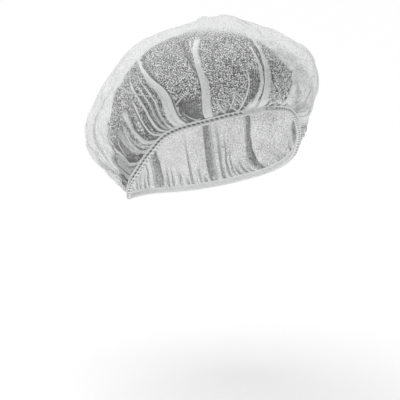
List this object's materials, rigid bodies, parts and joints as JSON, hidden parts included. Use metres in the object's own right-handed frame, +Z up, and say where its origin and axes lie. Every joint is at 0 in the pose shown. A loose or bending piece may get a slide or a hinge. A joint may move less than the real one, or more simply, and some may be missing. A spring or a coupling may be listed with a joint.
{
  "type": "hairnet",
  "caption": "Disposable bouffant hair cap in its worn shape: a puffed, gathered nonwoven crown drawn in by an elastic band that rises from nape to forehead.",
  "frame": {"origin": "middle of the opening that the head goes into, on the head's axis, midway in height between the band at the forehead and at the nape", "axes": "+Z up through the crown, -Y the way the wearer looks, +X the wearer's left"},
  "size_m": [0.2068, 0.2386, 0.183],
  "materials": {
    "nonwoven_cloth": "sheer white spunbond cloth with a fine bonded dot pattern",
    "elastic_band": "white stitched elastic, matt"
  },
  "bodies": {
    "root": {"crown": "nonwoven_cloth", "elastic_band": "elastic_band"}
  },
  "joints": []
}
